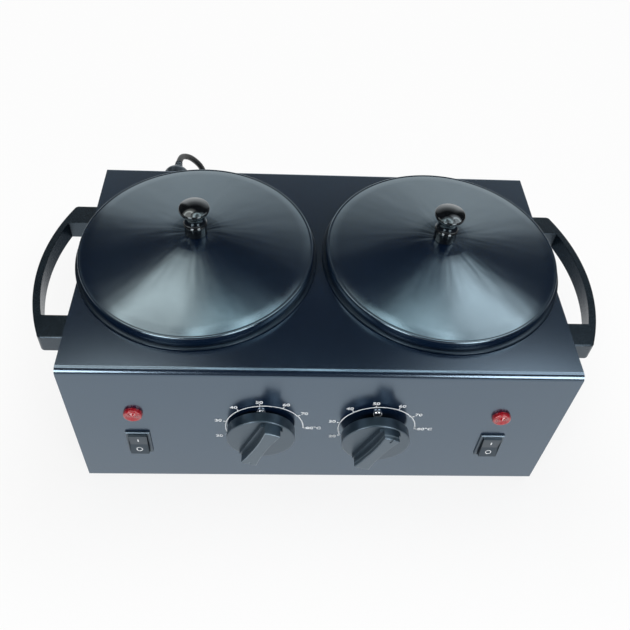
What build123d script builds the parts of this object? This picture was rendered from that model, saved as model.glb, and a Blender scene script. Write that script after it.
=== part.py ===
from build123d import *
import math
import os

# Double wax warmer: one sheet-metal case holding two heated wells, two lift-out pots with lids,
# two thermostats, two lamps and two rocker switches. Millimetres, +Z up, front towards -Y.
# The origin is on the floor at the middle of the object's outline, cord left aside.

# case
BODY_W = 400.0
BODY_D = 230.0
BODY_H = 161.0
FOOT_H = 9.0
SHEET = 1.2
FRONT_BEND_R = 5.5
BACK_BEND_R = 2.2
SEAM = 0.15
LIP = 12.0

# pots and lids
POT_X = 104.2
POT_FROM_FRONT = 121.4
OPENING_R = 90.5
FLANGE_R = 102.0
BEAD_R = 97.0
POT_DEPTH = 118.0
WELL_DEPTH = 128.0
LID_R = 98.8
LID_SHEET = 0.9
SKIRT_H = 8.6
CONE_H = 15.5
CREST_R = 18.5
REST_GAP = 0.3
HEATER_Z = (58.0, 103.0)
FELT_Z = (52.0, 105.0)
FELT_R = (92.3, 94.3)

# dials, lamps and switches, measured from the case's bottom edge
DIAL_X = 46.7
DIAL_Z = 84.5
DIAL_R = 27.6
DIAL_REACH = 24.5
DIAL_SHY = 3.0
DISC_T = 8.8
BAR_T = 9.5
BAR_END_HALF = 6.7
BAR_WAIST_HALF = 4.9
RIM_SHY = 1.6
SHAFT_R = 3.0
RUN_FIT = 0.05
SCREW_PITCH = 47.0
LAMP_X = 148.5
LAMP_Z = 103.5
LAMP_R = 7.8
LAMP_REACH = 3.9
SWITCH_X = 148.4
SWITCH_Z = 59.5
BEZEL_W = 20.0
BEZEL_H = 32.0
ROCKER_W = 15.2
ROCKER_R = 13.9
ROCKER_TILT = 4.0

# handles
HANDLE_Z = 121.5
HANDLE_H = 18.5
HANDLE_HALF = 76.8
HANDLE_REACH = 44.3
HANDLE_END = 26.7
STRAP_T = 6.5
FINGER_HALF = 53.9
HANDLE_CORNER_R = 2.0
HANDLE_EDGE_R = 1.2

# cord
CORD_R = 3.0
GLAND_X = -136.5
GLAND_Z = 145.0
GLAND_REACH = 30.0
COIL_R = 34.0
COIL_TURNS = 5
COIL_CENTRE = (-30.0, 176.0)
PLUG_ENTRY = (110.0, 204.5, 18.6)
PLUG_R = 18.5
PIN_PITCH = 19.0
PIN_ROOT = 43.0

# places worked out from the above
FRONT_Y = -(BODY_D - DIAL_REACH) / 2
BACK_Y = FRONT_Y + BODY_D
TOP_Z = FOOT_H + BODY_H
POT_Y = FRONT_Y + POT_FROM_FRONT
INNER_FRONT = FRONT_Y + SHEET
INNER_BACK = BACK_Y - SHEET
UNDER_TOP = TOP_Z - SHEET
LID_Z = TOP_Z + 2.0 + REST_GAP
SHAFT_Z = FOOT_H + DIAL_Z
SIDES = (("left", -1), ("right", 1))


def block(x0, x1, y0, y1, z0, z1):
    middle = Pos((x0 + x1) / 2, (y0 + y1) / 2, (z0 + z1) / 2)
    return middle * Box(abs(x1 - x0), abs(y1 - y0), abs(z1 - z0))


def post(x, y, z0, z1, r):
    return Pos(x, y, (z0 + z1) / 2) * Cylinder(r, z1 - z0)


def rod_y(x, z, y0, y1, r):
    return Pos(x, (y0 + y1) / 2, z) * Rot(90, 0, 0) * Cylinder(r, y1 - y0)


def rod_x(y, z, x0, x1, r):
    return Pos((x0 + x1) / 2, y, z) * Rot(0, 90, 0) * Cylinder(r, abs(x1 - x0))


def ring(x, y, z0, z1, r_out, r_in):
    return post(x, y, z0, z1, r_out) - post(x, y, z0 - 1, z1 + 1, r_in)


def turned(outline):
    """Solid of revolution about Z from an outline of (radius, height) points."""
    return revolve(Plane.XZ * make_face(Polyline(*outline, close=True)), Axis.Z)


def save(node, *solids):
    shape = solids[0] if len(solids) == 1 else Compound(children=list(solids))
    export_step(shape, "parts/" + node + ".step")


# ---- case ----


def bend_top(body, inset):
    """Rounds the long top edge at the front, then the sharper one at the back."""
    front = body.edges().filter_by(Axis.X).group_by(Axis.Z)[-1].sort_by(Axis.Y)[0]
    body = fillet(front, FRONT_BEND_R - inset)
    back = body.edges().filter_by(Axis.X).group_by(Axis.Z)[-1].sort_by(Axis.Y)[-1]
    return fillet(back, BACK_BEND_R - inset)


def rounded_box(inset, overrun):
    """The case's outline, shrunk by inset, with its two long top edges bent round."""
    half = BODY_W / 2 + overrun
    low = FOOT_H - overrun
    box = block(-half, half, FRONT_Y + inset, BACK_Y - inset, low, TOP_Z - inset)
    return bend_top(box, inset)


def housing_wrap():
    wrap = rounded_box(0, 0) - rounded_box(SHEET, 1)
    lip_x = BODY_W / 2 - SHEET - 0.3
    lip_z = FOOT_H + SHEET + SEAM
    for wall, inward in ((INNER_FRONT, 1), (INNER_BACK, -1)):
        wrap += block(-lip_x, lip_x, wall, wall + inward * LIP, lip_z, lip_z + SHEET)
    for x, y in base_screw_places():
        wrap -= post(x, y, FOOT_H, FOOT_H + 6, 1.6)
    for side in (-1, 1):
        wrap -= post(side * POT_X, POT_Y, UNDER_TOP - 1, TOP_Z + 1, OPENING_R)
        wrap -= rod_y(side * DIAL_X, SHAFT_Z, FRONT_Y - 1, INNER_FRONT + 1, 5.2)
        for up in (-1, 1):
            z = SHAFT_Z + up * SCREW_PITCH / 2
            wrap -= rod_y(side * DIAL_X, z, FRONT_Y - 1, INNER_FRONT + 1, 2.15)
        wrap -= rod_y(side * LAMP_X, FOOT_H + LAMP_Z, FRONT_Y - 1, INNER_FRONT + 1, 6.2)
        x = side * SWITCH_X
        z = FOOT_H + SWITCH_Z
        wrap -= block(x - 8.9, x + 8.9, FRONT_Y - 1, INNER_FRONT + 1, z - 15.2, z + 15.2)
    wrap -= rod_y(GLAND_X, FOOT_H + GLAND_Z, INNER_BACK - 1, BACK_Y + 1, 8.2)
    return wrap


def handle_middle_y():
    return FRONT_Y + 122.7


def handle_screw_places():
    return [handle_middle_y() + sign * (HANDLE_HALF + FINGER_HALF) / 2 for sign in (-1, 1)]


def side_panel(side):
    edge = SHEET + SEAM
    outer = side * BODY_W / 2
    inner = side * (BODY_W / 2 - SHEET)
    panel = block(inner, outer, FRONT_Y + edge, BACK_Y - edge, FOOT_H, TOP_Z - edge)
    panel = bend_top(panel, edge)
    for y, inward in ((FRONT_Y + edge, 1), (BACK_Y - edge, -1)):
        flange = block(inner - side * 10, inner, y, y + inward * SHEET, FOOT_H + 20, TOP_Z - 12)
        panel += flange
    for y in handle_screw_places():
        panel -= rod_x(y, FOOT_H + HANDLE_Z + HANDLE_H / 2, inner - side, outer + side, 2.7)
    return panel


def base_screw_places():
    return [(x, y) for x in (-140, 0, 140) for y in (INNER_FRONT + 7, INNER_BACK - 7)]


def foot_places():
    places = {}
    for side, sx in SIDES:
        places["front_" + side] = (sx * 170, FRONT_Y + 28)
        places["back_" + side] = (sx * 170, BACK_Y - 28)
    return places


def base_plate():
    edge = SHEET + 0.3
    half = BODY_W / 2 - edge
    plate = block(-half, half, FRONT_Y + edge, BACK_Y - edge, FOOT_H, FOOT_H + SHEET)
    for x, y in base_screw_places():
        plate -= post(x, y, FOOT_H - 1, FOOT_H + 3, 1.6)
    for x, y in foot_places().values():
        plate -= post(x, y, FOOT_H - 1, FOOT_H + 3, 2.1)
    for row in range(9):
        x = (row - 4) * 14
        plate -= block(x - 2, x + 2, POT_Y - 20, POT_Y + 20, FOOT_H - 1, FOOT_H + 3)
    return plate


def foot(x, y):
    body = Pos(x, y, 0) * turned([(0, 0), (11, 0), (12, 1), (12, FOOT_H), (0, FOOT_H)])
    return body - post(x, y, -1, 5.3, 5) - post(x, y, 0, FOOT_H + 1, 2.1)


def make_case():
    save("housing_wrap", housing_wrap())
    save("base_plate", base_plate())
    for side, sx in SIDES:
        save(side + "_side_panel", side_panel(sx))
    heads = [post(x, y, FOOT_H - 1.8, FOOT_H, 3) + post(x, y, FOOT_H - 1, FOOT_H + 7, 1.5)
             for x, y in base_screw_places()]
    save("base_screws", *heads)
    for name, (x, y) in foot_places().items():
        save(name + "_foot", foot(x, y))
    screws = [post(x, y, 3, 5.2, 4) + post(x, y, 4, FOOT_H + 8, 2) for x, y in foot_places().values()]
    save("foot_screws", *screws)


# ---- handles ----


def handle(side):
    """Bow handle: two flat feet on the wall joined by a strap that curves outwards."""
    wall = BODY_W / 2
    tip = wall + HANDLE_REACH
    end = wall + HANDLE_END
    plan = Plane.XY * make_face(
        Polyline((end, -HANDLE_HALF), (wall, -HANDLE_HALF), (wall, HANDLE_HALF), (end, HANDLE_HALF))
        + ThreePointArc((end, -HANDLE_HALF), (tip, 0), (end, HANDLE_HALF)))
    body = extrude(plan, HANDLE_H)
    outer_corners = body.edges().filter_by(Axis.Z).sort_by(Axis.X)[-2:]
    body = fillet(outer_corners, HANDLE_CORNER_R)
    bow_r = (HANDLE_HALF ** 2 + (tip - end) ** 2) / (2 * (tip - end))
    gap = post(tip - bow_r, 0, -1, HANDLE_H + 1, bow_r - STRAP_T)
    gap = gap & block(wall - 1, tip, -FINGER_HALF, FINGER_HALF, -1, HANDLE_H + 1)
    body -= gap
    rims = body.edges().filter_by(GeomType.CIRCLE).group_by(Axis.Z)
    body = fillet([e for e in rims[-1] + rims[0] if e.radius > bow_r - 1], HANDLE_EDGE_R)
    for y in handle_screw_places():
        body -= rod_x(y - handle_middle_y(), HANDLE_H / 2, wall - 1, wall + 16, 2.3)
    body = Pos(0, handle_middle_y(), FOOT_H + HANDLE_Z) * body
    return body if side > 0 else mirror(body, Plane.YZ)


def make_handles():
    screws = []
    z = FOOT_H + HANDLE_Z + HANDLE_H / 2
    wall = BODY_W / 2
    for side, sx in SIDES:
        save(side + "_handle", handle(sx))
        for y in handle_screw_places():
            head = rod_x(y, z, sx * (wall - SHEET - 3), sx * (wall - SHEET), 4.5)
            screws.append(head + rod_x(y, z, sx * (wall - SHEET - 1), sx * (wall + 14), 2.2))
    save("handle_screws", *screws)


# ---- wells, pots and lids ----


def well():
    """Straight heating well with a turned-out flange under the top plate."""
    r = OPENING_R - 2
    low = UNDER_TOP - WELL_DEPTH
    return turned([(0, low), (r + 1, low), (r + 1, UNDER_TOP - 1), (94.2, UNDER_TOP - 1),
                   (94.2, UNDER_TOP), (r, UNDER_TOP), (r, low + 1), (0, low + 1)])


def pot():
    """Tapered pot with a wide flange that lies on the top plate and a bead that centres the lid."""
    low = TOP_Z - POT_DEPTH - 1
    seat = TOP_Z + REST_GAP
    top = seat + 1.7
    wall_r = OPENING_R - 3.3
    return turned([(0, low), (80, low), (wall_r, seat), (FLANGE_R, seat), (FLANGE_R, top),
                   (BEAD_R, top), (BEAD_R, top + 2.4), (BEAD_R - 1.4, top + 2.4), (BEAD_R - 1.4, top),
                   (wall_r - 1.2, top), (78.9, low + 1.2), (0, low + 1.2)])


def lid():
    """Shallow cone with a flat crest and a vertical skirt, one thickness of sheet."""
    shoulder = LID_Z + SKIRT_H
    crest = shoulder + CONE_H
    t = LID_SHEET
    shell = turned([(0, crest), (CREST_R, crest), (LID_R - 0.8, shoulder + 0.1), (LID_R, shoulder - 0.7),
                    (LID_R, LID_Z), (LID_R - t, LID_Z), (LID_R - t, shoulder - 1), (CREST_R, crest - t),
                    (0, crest - t)])
    return shell - post(0, 0, crest - 3, crest + 1, 2.15)


def lid_knob():
    """Mushroom knob: straight stem, collar, waisted neck and a domed cap."""
    foot_z = LID_Z + SKIRT_H + CONE_H
    brow_r = 11.4
    brow_z = foot_z + 28.2
    crown_z = foot_z + 31
    dome_r = (brow_r ** 2 + (crown_z - brow_z) ** 2) / (2 * (crown_z - brow_z))
    dome_middle = (brow_r / 2, crown_z - dome_r + math.sqrt(dome_r ** 2 - brow_r ** 2 / 4))
    edges = [
        Polyline((0, foot_z), (9.2, foot_z), (9.2, foot_z + 10.2), (9.5, foot_z + 11)),
        ThreePointArc((9.5, foot_z + 11), (8.1, foot_z + 16.6), (9.9, foot_z + 22.4)),
        ThreePointArc((9.9, foot_z + 22.4), (11.6, foot_z + 24), (12.6, foot_z + 26.4)),
        ThreePointArc((12.6, foot_z + 26.4), (12.3, foot_z + 27.5), (brow_r, brow_z)),
        ThreePointArc((brow_r, brow_z), dome_middle, (0, crown_z)),
        Line((0, crown_z), (0, foot_z)),
    ]
    body = revolve(Plane.XZ * make_face(edges), Axis.Z)
    return body - post(0, 0, foot_z - 1, foot_z + 14.5, 2.05)


def lid_knob_screw():
    foot_z = LID_Z + SKIRT_H + CONE_H
    under = foot_z - LID_SHEET
    return post(0, 0, under - 2.4, under, 4) + post(0, 0, under - 1, foot_z + 12, 2)


def heater():
    """Mica band heater round the well, open at the back where its ends clamp."""
    r = OPENING_R - 0.9
    band = ring(0, 0, *HEATER_Z, r + 2.5, r)
    return band - block(-5, 5, r - 10, r + 10, 50, 110)


def make_pots():
    for side, sx in SIDES:
        centre = Pos(sx * POT_X, POT_Y, 0)
        save(side + "_well", centre * well())
        save(side + "_heater", centre * heater())
        save(side + "_insulation", centre * ring(0, 0, *FELT_Z, FELT_R[1], FELT_R[0]))
        save(side + "_pot", centre * pot())
        save(side + "_lid", centre * lid())
        save(side + "_lid_knob", centre * lid_knob())
        save(side + "_lid_knob_screw", centre * lid_knob_screw())
        floor_z = UNDER_TOP - WELL_DEPTH
        cutout = post(sx * 30, 0, floor_z - 8, floor_z, 8)
        cutout += block(sx * 30 - 3, sx * 30 + 3, -11, 11, floor_z - 7, floor_z - 6.2)
        save(side + "_thermal_fuse", centre * cutout)


# ---- dials ----


def dial_knob(pointer_deg):
    """Disc with a full-width grip bar. Local +Z is outwards, the pointer end lies at pointer_deg."""
    disc = Cylinder(DIAL_R, DISC_T, align=(Align.CENTER, Align.CENTER, Align.MIN))
    disc = fillet(disc.edges().group_by(Axis.Z)[-1], 1.2)
    tip = DIAL_R - RIM_SHY
    end = math.sqrt(DIAL_R ** 2 - BAR_END_HALF ** 2) - RIM_SHY
    sides = []
    for s in (-1, 1):
        edge = s * BAR_END_HALF
        sides.append(ThreePointArc((-end, edge), (0, s * BAR_WAIST_HALF), (end, edge)))
        sides.append(ThreePointArc((s * end, -BAR_END_HALF), (s * tip, 0), (s * end, BAR_END_HALF)))
    bar = extrude(make_face(sides), DISC_T + BAR_T)
    bar = fillet(bar.edges().group_by(Axis.Z)[-1], 1.0)
    ledge = Box(2 * end, 18.6, DISC_T + 3, align=(Align.CENTER, Align.CENTER, Align.MIN))
    ledge &= Cylinder(DIAL_R - 2.5, 40)
    knob = disc + bar + ledge
    notch = Pos(end - 1.5, 0, DISC_T + BAR_T) * Box(5, 1.4, 1.2)
    knob -= notch
    bore = Cylinder(SHAFT_R + RUN_FIT, 13, align=(Align.CENTER, Align.CENTER, Align.MIN))
    flat = Pos(0, 2.4 + RUN_FIT, 0) * Box(8, 2, 13, align=(Align.CENTER, Align.MIN, Align.MIN))
    knob -= bore - flat
    return Rot(0, 0, pointer_deg) * knob


def shaft(length):
    body = Cylinder(SHAFT_R, length, align=(Align.CENTER, Align.CENTER, Align.MIN))
    flat = Pos(0, 2.4, length - 14) * Box(8, 2, 15, align=(Align.CENTER, Align.MIN, Align.MIN))
    return body - flat


def thermostat():
    """Capillary thermostat: fixing strap against the front, square can behind it and two tabs."""
    strap = block(-10, 10, 0, 1.5, -28, 28)
    can = block(-16, 16, 1.5, 15.5, -17, 17)
    bush = rod_y(0, 0, -SHEET, 1, 5)
    body = strap + can + bush
    for x in (-8, 8):
        body += block(x - 3, x + 3, 15, 22, -6, -5.2)
    for up in (-1, 1):
        body -= rod_y(0, up * SCREW_PITCH / 2, -1, 3, 2.05)
    return body - rod_y(0, 0, -3, 12.5, SHAFT_R + RUN_FIT)


def make_dials():
    screws = []
    for side, sx in SIDES:
        x = sx * DIAL_X
        pointer = -112 if sx < 0 else 67
        reach = DIAL_REACH - (DIAL_SHY if sx < 0 else 0)
        rear = FRONT_Y - reach + DISC_T + BAR_T
        facing = Pos(x, rear, SHAFT_Z) * Rot(90, 0, 0)
        knob = facing * dial_knob(pointer)
        save(side + "_dial_knob", knob)
        start = INNER_FRONT + 11
        stem = Pos(x, start, SHAFT_Z) * Rot(90, 0, 0) * Rot(0, 0, pointer) * shaft(start - rear + 12.5)
        save(side + "_thermostat_shaft", stem)
        save(side + "_thermostat", Pos(x, INNER_FRONT, SHAFT_Z) * thermostat())
        for up in (-1, 1):
            z = SHAFT_Z + up * SCREW_PITCH / 2
            head = fillet(rod_y(x, z, FRONT_Y - 2.4, FRONT_Y, 3.75).edges().group_by(Axis.Y)[0], 1.2)
            shank = rod_y(x, z, FRONT_Y - 1, INNER_FRONT + 5, 2)
            screws.append(head + shank)
        save(side + "_sensor_bulb", sensor_bulb(sx))
    save("thermostat_screws", *screws)


def sensor_bulb(sx):
    """Bulb held flat under the well's floor, joined to the thermostat by its capillary."""
    z = UNDER_TOP - WELL_DEPTH - 3.6
    can_low = SHAFT_Z - 17
    y = INNER_FRONT + 9
    x = sx * DIAL_X
    start = Vector(x, y, can_low - SEAM)
    turn = Vector(x, y, z)
    far = Vector(sx * 86, POT_Y - 40, z)
    line = FilletPolyline(start, turn, far, radius=9)
    capillary = sweep(Plane(start, z_dir=(0, 0, -1)) * Circle(0.8), path=line)
    run = (far - turn).normalized()
    bulb = Plane(far - run, z_dir=run) * Cylinder(3, 62, align=(Align.CENTER, Align.CENTER, Align.MIN))
    return capillary + bulb


# ---- lamps and switches ----


def lamp_lens():
    """Local +Z is outwards, z 0 is the case's front face."""
    face = Cylinder(LAMP_R, LAMP_REACH, align=(Align.CENTER, Align.CENTER, Align.MIN))
    face = fillet(face.edges().group_by(Axis.Z)[-1], 1.5)
    return face + Pos(0, 0, -8) * Cylinder(6, 9, align=(Align.CENTER, Align.CENTER, Align.MIN))


def lamp_body():
    tube = Pos(0, 0, -18) * Cylinder(7.8, 18 - SHEET, align=(Align.CENTER, Align.CENTER, Align.MIN))
    tube -= Pos(0, 0, -9) * Cylinder(6.1, 10, align=(Align.CENTER, Align.CENTER, Align.MIN))
    for x in (-3.5, 3.5):
        tube += Pos(x, 0, -20.5) * Box(0.8, 4.8, 6)
    return tube


def switch_body():
    """Bezel with its tub, open at the front for the rocker. Local +Z is outwards, +Y up."""
    bezel = Box(BEZEL_W, BEZEL_H, 2, align=(Align.CENTER, Align.CENTER, Align.MIN))
    bezel = chamfer(bezel.edges().group_by(Axis.Z)[-1], 0.8)
    tub = Pos(0, 0, -19.5) * Box(17.4, 30.2, 20, align=(Align.CENTER, Align.CENTER, Align.MIN))
    room = Pos(0, 0, -17) * Box(ROCKER_W + 0.8, 2 * ROCKER_R + 0.6, 30,
                                align=(Align.CENTER, Align.CENTER, Align.MIN))
    body = bezel + tub - room
    for x in (-4, 4):
        body += Pos(x, -6, -21.5) * Box(0.8, 6, 5)
    return body


def rocker():
    """Paddle with a shallow V front, round-ended about its pivot. Its pivot is the local X axis."""
    crease = 5.6
    flare = crease + 1.0
    root = -6.0
    outline = make_face(Polyline((crease, 0), (flare, 12.6), (flare, 20), (root, 20), (root, -20),
                                 (flare, -20), (flare, -12.6), close=True))
    outline &= Circle(ROCKER_R)
    paddle = extrude(Plane(origin=(-ROCKER_W / 2, 0, 0), x_dir=(0, 0, 1), z_dir=(1, 0, 0)) * outline,
                     ROCKER_W)
    return paddle


def make_lamps_and_switches():
    for side, sx in SIDES:
        lamp_at = Pos(sx * LAMP_X, FRONT_Y, FOOT_H + LAMP_Z) * Rot(90, 0, 0)
        save(side + "_lamp_lens", lamp_at * lamp_lens())
        save(side + "_lamp_body", lamp_at * lamp_body())
        switch_at = Pos(sx * SWITCH_X, FRONT_Y, FOOT_H + SWITCH_Z) * Rot(90, 0, 0)
        save(side + "_switch_body", switch_at * switch_body())
        save(side + "_rocker", switch_at * Pos(0, 0, -2) * Rot(-ROCKER_TILT, 0, 0) * rocker())


# ---- supply ----


def cord_gland():
    """Dome-nosed gland with a short sleeve. Local +Z is outwards, z 0 is the back wall's face."""
    edges = [
        Polyline((0, -10), (8, -10), (8, 0), (12.4, 0), (12.4, 3), (11.6, 3.4), (12.4, 3.8), (12.4, 9)),
        ThreePointArc((12.4, 9), (10.6, 14.6), (5.2, 17.2)),
        Polyline((5.2, 17.2), (3.7, 17.6), (3.7, GLAND_REACH), (0, GLAND_REACH), (0, -10)),
    ]
    return revolve(Plane.XZ * make_face(edges), Axis.Z)


def tube(name, *points):
    """Round cord along straight runs joined by tangent arcs, each as large as its runs allow."""
    corners = [Vector(*p) for p in points]
    radii = []
    for before, here, after in zip(corners, corners[1:], corners[2:]):
        turn = math.radians((here - before).get_angle(after - here))
        shorter = min((here - before).length, (after - here).length)
        radii.append(0.45 * shorter / math.tan(turn / 2))
    line = FilletPolyline(*corners, radius=radii)
    body = sweep(Plane(corners[0], z_dir=corners[1] - corners[0]) * Circle(CORD_R), path=line)
    print(name, "radii", [round(r, 1) for r in radii])
    print(name, "volume", round(body.volume), "section x length", round(math.pi * CORD_R ** 2 * line.length),
          "length", round(line.length, 1))
    return body


def plug_frame():
    """Where the cord enters the plug, with local +Z towards the pins."""
    return Plane(origin=PLUG_ENTRY, x_dir=(0, 0, 1), z_dir=(0.97, -0.24, 0))


def pin_rod(length):
    return Cylinder(2.4, length, align=(Align.CENTER, Align.CENTER, Align.MIN))


def plug():
    """Round two-pin plug, lying level on its rim."""
    body = turned([(0, 0), (4.4, 0), (5.6, 20), (11, 22), (12.5, 34), (PLUG_R, 40), (PLUG_R, 52), (0, 52)])
    for s in (-1, 1):
        body -= Pos(0, s * PIN_PITCH / 2, PIN_ROOT) * pin_rod(12)
    return plug_frame() * body


def plug_pins():
    pins = []
    for s in (-1, 1):
        pin = Pos(0, s * PIN_PITCH / 2, PIN_ROOT) * pin_rod(28)
        pins.append(plug_frame() * fillet(pin.edges().group_by(Axis.Z)[-1], 1))
    return pins


def make_supply():
    gland_z = FOOT_H + GLAND_Z
    save("cord_gland", Pos(GLAND_X, BACK_Y, gland_z) * Rot(-90, 0, 0) * cord_gland())
    nut = Cylinder(11, 5) & Box(19, 19, 6)
    nut -= Cylinder(8.05, 8)
    save("gland_nut", Pos(GLAND_X, INNER_BACK - 2.5, gland_z) * Rot(90, 0, 0) * nut)

    coil_x, coil_y = COIL_CENTRE
    coil_top = CORD_R * (2 * COIL_TURNS + 1)
    save("mains_cord", tube(
        "mains_cord",
        (GLAND_X, BACK_Y + GLAND_REACH, gland_z), (-136.5, 168.2, 151.8), (-134, 177.8, 146.7),
        (-127.5, 187, 137), (-117.5, 191.5, 120), (-115, 192.5, 97), (-112, 196, 72),
        (-99, 201.5, 50), (-76, 206, 37.5), (-51, 209.4, 33.4), (coil_x, coil_y + COIL_R, coil_top)))
    height = 2 * CORD_R * (COIL_TURNS + 1)
    save("cord_coil", ring(coil_x, coil_y, 0, height, COIL_R + CORD_R, COIL_R - CORD_R))
    save("cord_tail", tube(
        "cord_tail",
        (coil_x, coil_y + COIL_R, CORD_R), (-8, 211, CORD_R), (16, 216, CORD_R), (40, 218.5, 4),
        (64, 215, 9.5), (87, 210, 17), PLUG_ENTRY))
    save("plug", plug())
    save("plug_pins", *plug_pins())

    z = FOOT_H + SHEET
    terminal = block(-18, 18, 62, 80, z, z + 14)
    for x in (-12, 0, 12):
        terminal -= rod_y(x, z + 6, 60, 82, 1.8)
        terminal -= post(x, 66, z + 8, z + 16, 2)
        terminal -= post(x, 76, z + 8, z + 16, 2)
    save("terminal_block", terminal)


os.makedirs("parts", exist_ok=True)
make_case()
make_handles()
make_pots()
make_dials()
make_lamps_and_switches()
make_supply()
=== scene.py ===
import math
import random
import bmesh
import bpy
from mathutils import Matrix, Vector


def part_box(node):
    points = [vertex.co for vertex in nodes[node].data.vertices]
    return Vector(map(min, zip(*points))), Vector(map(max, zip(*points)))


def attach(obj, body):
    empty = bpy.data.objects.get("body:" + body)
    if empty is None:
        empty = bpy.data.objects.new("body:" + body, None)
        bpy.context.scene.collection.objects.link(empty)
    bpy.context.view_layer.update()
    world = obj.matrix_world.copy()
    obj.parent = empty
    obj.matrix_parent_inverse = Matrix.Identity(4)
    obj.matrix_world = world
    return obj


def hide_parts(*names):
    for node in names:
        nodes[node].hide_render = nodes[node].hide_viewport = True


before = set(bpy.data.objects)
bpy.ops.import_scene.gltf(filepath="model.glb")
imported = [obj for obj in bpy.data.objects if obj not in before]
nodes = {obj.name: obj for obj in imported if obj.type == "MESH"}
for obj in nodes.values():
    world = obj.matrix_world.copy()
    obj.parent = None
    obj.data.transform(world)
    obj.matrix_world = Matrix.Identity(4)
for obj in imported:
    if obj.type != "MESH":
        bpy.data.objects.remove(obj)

random.seed(7)
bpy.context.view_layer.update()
sides = (("left", -1), ("right", 1))
print("frame loaded:", len(nodes), "nodes")

# ---- camera ----

cameraView = dict(place=(-0.0388, -0.40782, 0.62631), yaw=3.776, pitch=45.948, roll=3.956,
                  lens=41.354, shiftX=0.0114, shiftY=-0.1124)


def makeCamera():
    yaw = math.radians(cameraView["yaw"])
    pitch = math.radians(cameraView["pitch"])
    roll = math.radians(cameraView["roll"])
    ahead = Vector((math.sin(yaw) * math.cos(pitch), math.cos(yaw) * math.cos(pitch), -math.sin(pitch)))
    level = Vector((math.cos(yaw), -math.sin(yaw), 0))
    above = level.cross(ahead)
    right = math.cos(roll) * level + math.sin(roll) * above
    up = math.cos(roll) * above - math.sin(roll) * level
    lens = bpy.data.cameras.new("bench_camera")
    lens.sensor_width = 36
    lens.lens = cameraView["lens"]
    lens.shift_x = cameraView["shiftX"]
    lens.shift_y = cameraView["shiftY"]
    lens.clip_start = 0.01
    lens.clip_end = 20
    camera = bpy.data.objects.new("bench_camera", lens)
    turn = Matrix((right, up, -ahead)).transposed().to_4x4()
    camera.matrix_world = Matrix.Translation(cameraView["place"]) @ turn
    bpy.context.scene.collection.objects.link(camera)
    bpy.context.scene.camera = camera


makeCamera()
bpy.context.scene.view_settings.view_transform = "Standard"
print("camera set")

# ---- shader helpers ----


class Wire:
    # one socket of a material, with arithmetic
    def __init__(self, look, socket):
        self.look = look
        self.socket = socket

    def reckon(self, operation, *others):
        values = dict(enumerate(others))
        return self.look.add("ShaderNodeMath", {"operation": operation}, values)[0]

    def __add__(self, other):
        return self.reckon("ADD", self, other)

    def __radd__(self, other):
        return self.reckon("ADD", other, self)

    def __sub__(self, other):
        return self.reckon("SUBTRACT", self, other)

    def __rsub__(self, other):
        return self.reckon("SUBTRACT", other, self)

    def __mul__(self, other):
        return self.reckon("MULTIPLY", self, other)

    def __rmul__(self, other):
        return self.reckon("MULTIPLY", other, self)

    def __truediv__(self, other):
        return self.reckon("DIVIDE", self, other)

    def __pow__(self, other):
        return self.reckon("POWER", self, other)

    def over(self, low, high):
        # 0 below low, 1 above high, smooth between
        steps = {"Value": self, "From Min": low, "From Max": high}
        return self.look.add("ShaderNodeMapRange", {"interpolation_type": "SMOOTHSTEP"}, steps)[0]

    def under(self, low, high):
        return 1 - self.over(low, high)

    def atMost(self, other):
        return self.reckon("MINIMUM", self, other)

    def atLeast(self, other):
        return self.reckon("MAXIMUM", self, other)

    def size(self):
        return self.reckon("ABSOLUTE", self)

    def sine(self):
        return self.reckon("SINE", self)


class Outputs:
    def __init__(self, look, node):
        self.look = look
        self.node = node

    def __getitem__(self, key):
        return Wire(self.look, self.node.outputs[key])


class Look:
    # a material or world and the one method that adds its nodes
    def __init__(self, name, owner=None):
        self.owner = owner or bpy.data.materials.new(name)
        self.owner.use_nodes = True
        self.tree = self.owner.node_tree
        self.shader = self.tree.nodes.get("Principled BSDF")

    def add(self, kind, settings=None, values=None):
        node = self.tree.nodes.new(kind)
        for key, value in (settings or {}).items():
            setattr(node, key, value)
        for key, value in (values or {}).items():
            self.plug(node.inputs[key], value)
        return Outputs(self, node)

    def plug(self, socket, value):
        if isinstance(value, Wire):
            self.tree.links.new(value.socket, socket)
        else:
            socket.default_value = value

    def constants(self, **values):
        for key, value in values.items():
            self.shader.inputs[key.replace("_", " ")].default_value = value

    def varies(self, key, wire):
        self.plug(self.shader.inputs[key], wire)

    def place(self):
        return self.add("ShaderNodeTexCoord")["Object"]

    def noise(self, vector, scale, detail=3, roughness=0.5):
        values = {"Vector": vector, "Scale": scale, "Detail": detail, "Roughness": roughness}
        return self.add("ShaderNodeTexNoise", {}, values)[0]

    def axes(self, vector):
        split = self.add("ShaderNodeSeparateXYZ", {}, {0: vector})
        return split[0], split[1], split[2]

    def shift(self, vector, amount):
        return self.add("ShaderNodeVectorMath", {"operation": "SUBTRACT"}, {0: vector, 1: amount})[0]

    def stretch(self, vector, amount):
        return self.add("ShaderNodeVectorMath", {"operation": "MULTIPLY"}, {0: vector, 1: amount})[0]

    def mix(self, factor, first, second):
        return self.add("ShaderNodeMix", {"data_type": "RGBA"}, {0: factor, 6: first, 7: second})[2]

    def bump(self, height, distance, strength=1.0):
        values = {"Height": height, "Distance": distance, "Strength": strength}
        self.varies("Normal", self.add("ShaderNodeBump", {}, values)["Normal"])


def tone(red, green, blue):
    return (red, green, blue, 1.0)


def shade(colour, factor):
    return tuple(c * factor for c in colour[:3]) + (1.0,)


# ---- finishes ----

paint = dict(colour=tone(0.0006, 0.005, 0.018), tint=tone(0.62, 0.82, 1.0), lidTint=tone(0.68, 0.89, 1.0),
             ior=2.4, caseRough=0.22, lidRough=0.19)


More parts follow.
